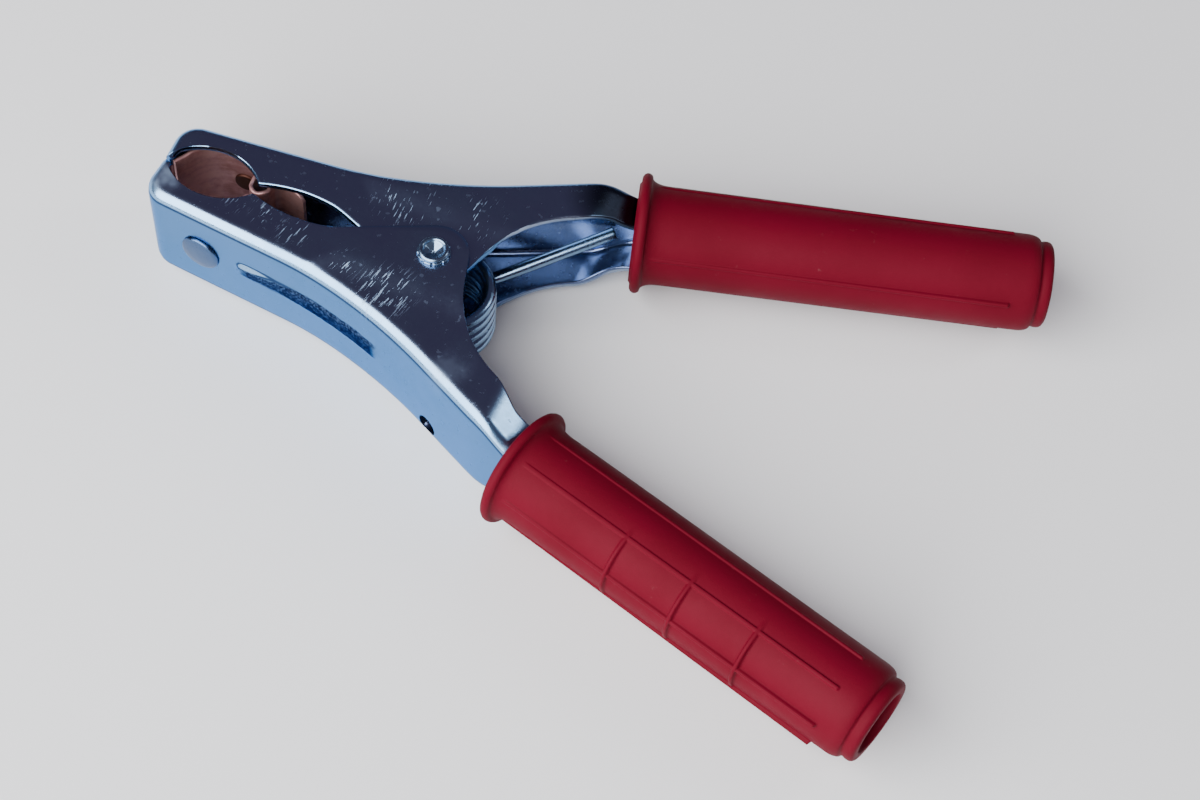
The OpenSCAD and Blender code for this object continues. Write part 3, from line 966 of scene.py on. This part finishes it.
def make_sleeve(name, side, twist, body, node):
    outer, inner = np.array(outer_rings()), np.array(inner_rings())
    angles = sleeve_angles([side * rib[0] for rib in LONG_RIBS])
    r = np.concatenate([ribbed(outer, turned(angles), side), np.repeat(inner[:, 0:1], len(angles), 1)])
    s = np.concatenate([outer[:, 1], inner[:, 1]])[:, None, None]
    a = np.radians(angles + twist)[None, :]
    # along the sleeve, away from the closing plane, and up
    h = math.radians(HANDLE_A)
    along, away, up = np.array([[math.cos(h), math.sin(h), 0], [-math.sin(h), math.cos(h), 0], [0, 0, 1.0]])
    v = np.array([*FLANGE_AT, 0]) + s * along
    v = v + (r * np.cos(a))[..., None] * away + (r * np.sin(a))[..., None] * up
    v = on_side(v.reshape(-1, 3), side)
    faces = grid_faces(len(s), len(angles), wrap_n=True, wrap_m=True)
    o = mesh_object(name, to_frame(v), faces, red, body)
    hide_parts(node)


make_sleeve("sleeve_lower", -1, 0.0, LOWER, "lower_grip")
make_sleeve("sleeve_upper", 1, -15.5, UPPER, "upper_grip")


# ---------------------------------------------------------------- camera, light and floor
CAMERA_TURN, CAMERA_UP, CAMERA_ROLL = 17.13, 57.99, 6.2    # degrees, turn from -Y towards +X
CAMERA_LOOK = (59.83, -15.16, 0.0)                         # mm from the pivot
CAMERA_AWAY = 0.68575
LENS = 70.72


def make_camera():
    a, e, roll = (math.radians(d) for d in (CAMERA_TURN, CAMERA_UP, CAMERA_ROLL))
    back = Vector((math.sin(a) * math.cos(e), -math.cos(a) * math.cos(e), math.sin(e)))
    right = Vector((math.cos(a), math.sin(a), 0))
    up = back.cross(right)
    m = Matrix((
        math.cos(roll) * right + math.sin(roll) * up,
        -math.sin(roll) * right + math.cos(roll) * up,
        back)).transposed().to_4x4()
    m.translation = Vector(to_frame(CAMERA_LOOK)) + back * CAMERA_AWAY
    c = bpy.data.cameras.new("camera")
    c.sensor_width = 36.0
    c.lens = LENS
    c.clip_start = 0.01
    c.clip_end = 50
    o = bpy.data.objects.new("camera", c)
    o.matrix_world = m
    bpy.context.scene.collection.objects.link(o)
    bpy.context.scene.camera = o


def make_floor():
    m, b = new_material("floor_paper")
    b.inputs["Base Color"].default_value = (0.92, 0.93, 0.94, 1)
    b.inputs["Roughness"].default_value = 0.95
    b.inputs["Specular IOR Level"].default_value = 0.0
    n, size, z = 24, 6.0, -0.0004
    v = [((i / n - 0.5) * size, (j / n - 0.5) * size, z) for i in range(n + 1) for j in range(n + 1)]
    me = bpy.data.meshes.new("floor")
    me.from_pydata(v, [], grid_faces(n + 1, n + 1))
    me.materials.append(m)
    o = bpy.data.objects.new("floor", me)
    bpy.context.scene.collection.objects.link(o)


def area_light(name, at, size, power):
    """A rectangular light that faces the origin."""
    d = bpy.data.lights.new(name, "AREA")
    d.shape = "RECTANGLE"
    d.size, d.size_y = size
    d.energy = power
    o = bpy.data.objects.new(name, d)
    o.location = at
    o.rotation_mode = "QUATERNION"
    o.rotation_quaternion = (-Vector(at)).to_track_quat("-Z", "Y")
    bpy.context.scene.collection.objects.link(o)


def make_world():
    world = bpy.data.worlds.new("studio")
    world.use_nodes = True
    sky = world.node_tree.nodes["Background"]
    sky.inputs["Color"].default_value = (0.86, 0.63, 1.0, 1)
    sky.inputs["Strength"].default_value = 0.10
    bpy.context.scene.world = world


make_camera()
make_floor()
make_world()
area_light("key", (-0.50, -1.02, 0.92), (2.0, 1.7), 75)
area_light("side", (0.86, 0.50, 0.80), (0.20, 0.50), 2.2)
